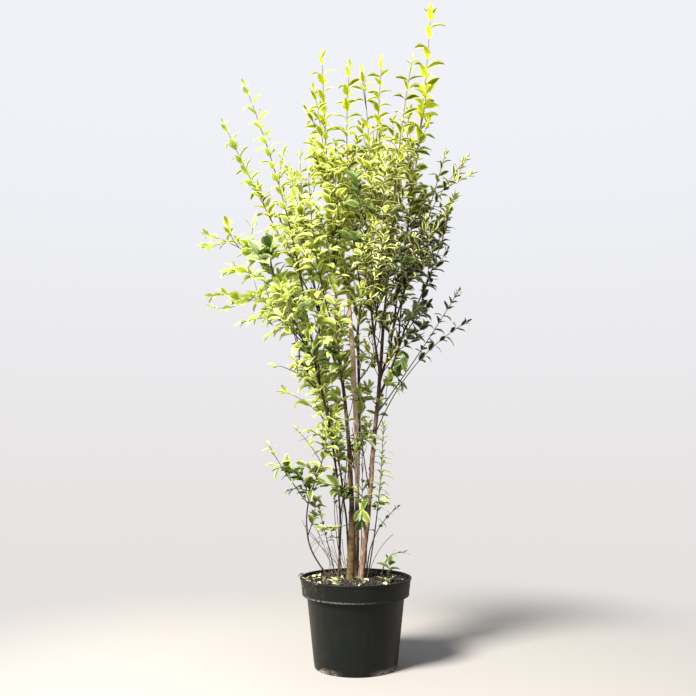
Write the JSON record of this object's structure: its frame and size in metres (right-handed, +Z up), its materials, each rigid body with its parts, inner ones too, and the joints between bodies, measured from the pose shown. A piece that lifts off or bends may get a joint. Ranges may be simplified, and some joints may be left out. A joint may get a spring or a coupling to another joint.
{
  "type": "privet shrub in a nursery pot",
  "caption": "Upright variegated privet shrub: bare stems rise from a round black nursery pot of soil into a loose crown of long leafy shoots.",
  "frame": {"origin": "centre of the pot's flat underside", "axes": "+Z up along the pot's axis, -Y towards the front of the plant as pictured, +X to the viewer's right"},
  "size_m": [0.851, 0.6838, 2.0182],
  "materials": {
    "pot_plastic": "matte black, scuffed and dusty",
    "potting_soil": "rough damp potting mix",
    "bark_mossy": "brown bark with olive moss low down",
    "bark_tan": "smooth tan bark",
    "bark_red": "red-brown bark with pale pores",
    "bark_dark": "dark grey-brown bark",
    "leaf_sunlit": "lime leaf with a pale yellow margin",
    "leaf_middle": "green leaf with a pale yellow margin",
    "leaf_shaded": "dark green leaf",
    "dry_twig": "dry grey-brown twig"
  },
  "bodies": {
    "root": {"centre_bough": "bark_mossy", "cut_back_stem": "bark_tan", "dry_twigs_left": "dry_twig", "foliage_among_stems_left": "leaf_shaded", "foliage_among_stems_middle": "leaf_shaded", "foliage_back_left": "leaf_sunlit", "foliage_back_low_left": "leaf_middle", "foliage_back_low_right": "leaf_shaded", "foliage_back_middle": "leaf_sunlit", "foliage_back_right": "leaf_middle", "foliage_back_side": "leaf_shaded", "foliage_front_left": "leaf_sunlit", "foliage_front_left_low": "leaf_middle", "foliage_front_low": "leaf_middle", "foliage_front_right": "leaf_middle", "foliage_front_side": "leaf_shaded", "foliage_left_front_low": "leaf_sunlit", "foliage_left_high": "leaf_sunlit", "foliage_left_level": "leaf_sunlit", "foliage_left_long": "leaf_sunlit", "foliage_left_reaching": "leaf_sunlit", "foliage_left_rear_high": "leaf_sunlit", "foliage_left_rear_low": "leaf_sunlit", "foliage_left_under": "leaf_middle", "foliage_left_under_rear": "leaf_middle", "foliage_right_arch_front": "leaf_shaded", "foliage_right_arch_rear": "leaf_shaded", "foliage_right_front_tip": "leaf_shaded", "foliage_right_rear_tip": "leaf_middle", "foliage_right_tip": "leaf_shaded", "foliage_tallest": "leaf_sunlit", "foliage_top_front": "leaf_sunlit", "foliage_top_left": "leaf_sunlit", "foliage_top_left_low": "leaf_sunlit", "foliage_top_middle": "leaf_sunlit", "foliage_top_rear": "leaf_sunlit", "foliage_top_right": "leaf_middle", "inner_left_stem": "bark_dark", "left_front_bough": "bark_dark", "left_high_bough": "bark_mossy", "left_low_bough": "bark_dark", "left_rear_bough": "bark_dark", "left_stem": "bark_dark", "left_sucker": "bark_dark", "main_stem": "bark_mossy", "pot": "pot_plastic", "rear_bough": "bark_dark", "rear_stem": "bark_dark", "right_inner_bough": "bark_red", "right_middle_bough": "bark_red", "right_outer_bough": "bark_red", "right_rear_bough": "bark_red", "right_stem": "bark_red", "shoot_left_rear": "leaf_shaded", "shoot_left_side": "leaf_middle", "shoot_left_tip": "leaf_shaded", "shoot_right": "leaf_shaded", "shoot_right_bare": "leaf_shaded", "soil": "potting_soil", "sprout_right": "leaf_shaded"}
  },
  "joints": []
}
